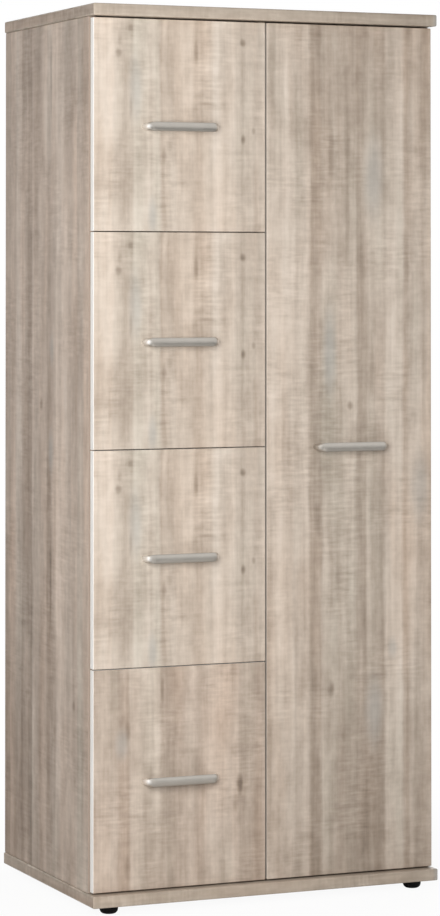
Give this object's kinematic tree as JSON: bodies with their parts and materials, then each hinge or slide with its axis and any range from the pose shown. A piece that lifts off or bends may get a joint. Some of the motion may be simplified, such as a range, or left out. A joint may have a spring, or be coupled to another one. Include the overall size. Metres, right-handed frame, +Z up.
{
  "type": "wardrobe",
  "caption": "Two-column wardrobe with deep bow-handled drawers beside a tall hinged door that covers a hanging space and hat shelf.",
  "frame": {"origin": "on the floor, under the middle of the whole object's box", "axes": "+Z up, the fronts face -Y, +X to the right as seen from the front"},
  "size_m": [0.8, 0.5702, 1.897],
  "materials": {
    "oak_decor": "grey-beige oak decor foil with vertical grain, fine cross saw marks and light edge bands",
    "inner_decor": "plain grey-beige decor foil, matt",
    "back_board": "thin fibreboard, printed to match, matt",
    "satin_metal": "satin nickel",
    "hinge_steel": "bright nickel on pressed steel",
    "pale_plastic": "moulded, slightly warm white",
    "black_plastic": "moulded, black"
  },
  "bodies": {
    "carcass": {"top_panel": "oak_decor", "base_panel": "oak_decor", "side_panel_left": "oak_decor", "side_panel_right": "oak_decor", "centre_partition": "inner_decor", "back_panel_left": "back_board", "back_panel_right": "back_board", "back_joint_strip": "pale_plastic", "hat_shelf": "inner_decor", "clothes_rail": "satin_metal", "rail_socket_left": "pale_plastic", "rail_socket_right": "pale_plastic", "foot_front_left": "black_plastic", "foot_front_right": "black_plastic", "foot_rear_left": "black_plastic", "foot_rear_right": "black_plastic", "hinge_arm_1": "hinge_steel", "hinge_arm_2": "hinge_steel", "hinge_arm_3": "hinge_steel", "hinge_arm_4": "hinge_steel", "runner_1_left": "pale_plastic", "runner_1_right": "pale_plastic", "runner_2_left": "pale_plastic", "runner_2_right": "pale_plastic", "runner_3_left": "pale_plastic", "runner_3_right": "pale_plastic", "runner_4_left": "pale_plastic", "runner_4_right": "pale_plastic"},
    "door": {"door_panel": "oak_decor", "door_handle": "satin_metal", "hinge_cup_1": "hinge_steel", "hinge_cup_2": "hinge_steel", "hinge_cup_3": "hinge_steel", "hinge_cup_4": "hinge_steel"},
    "drawer_1": {"drawer_1_front": "oak_decor", "drawer_1_handle": "satin_metal", "drawer_1_side_left": "inner_decor", "drawer_1_side_right": "inner_decor", "drawer_1_back": "inner_decor", "drawer_1_bottom": "back_board"},
    "drawer_2": {"drawer_2_front": "oak_decor", "drawer_2_handle": "satin_metal", "drawer_2_side_left": "inner_decor", "drawer_2_side_right": "inner_decor", "drawer_2_back": "inner_decor", "drawer_2_bottom": "back_board"},
    "drawer_3": {"drawer_3_front": "oak_decor", "drawer_3_handle": "satin_metal", "drawer_3_side_left": "inner_decor", "drawer_3_side_right": "inner_decor", "drawer_3_back": "inner_decor", "drawer_3_bottom": "back_board"},
    "drawer_4": {"drawer_4_front": "oak_decor", "drawer_4_handle": "satin_metal", "drawer_4_side_left": "inner_decor", "drawer_4_side_right": "inner_decor", "drawer_4_back": "inner_decor", "drawer_4_bottom": "back_board"}
  },
  "joints": [
    {"name": "door_hinge", "type": "hinge", "parent": "carcass", "child": "door", "pos_m": [0.387, -0.25135, 0.957], "axis": [0, 0, 1], "range_deg": [0, 100]},
    {"name": "drawer_1_slide", "type": "slide", "parent": "carcass", "child": "drawer_1", "axis": [0, -1, 0], "range_m": [0, 0.375]},
    {"name": "drawer_2_slide", "type": "slide", "parent": "carcass", "child": "drawer_2", "axis": [0, -1, 0], "range_m": [0, 0.375]},
    {"name": "drawer_3_slide", "type": "slide", "parent": "carcass", "child": "drawer_3", "axis": [0, -1, 0], "range_m": [0, 0.375]},
    {"name": "drawer_4_slide", "type": "slide", "parent": "carcass", "child": "drawer_4", "axis": [0, -1, 0], "range_m": [0, 0.375]}
  ]
}
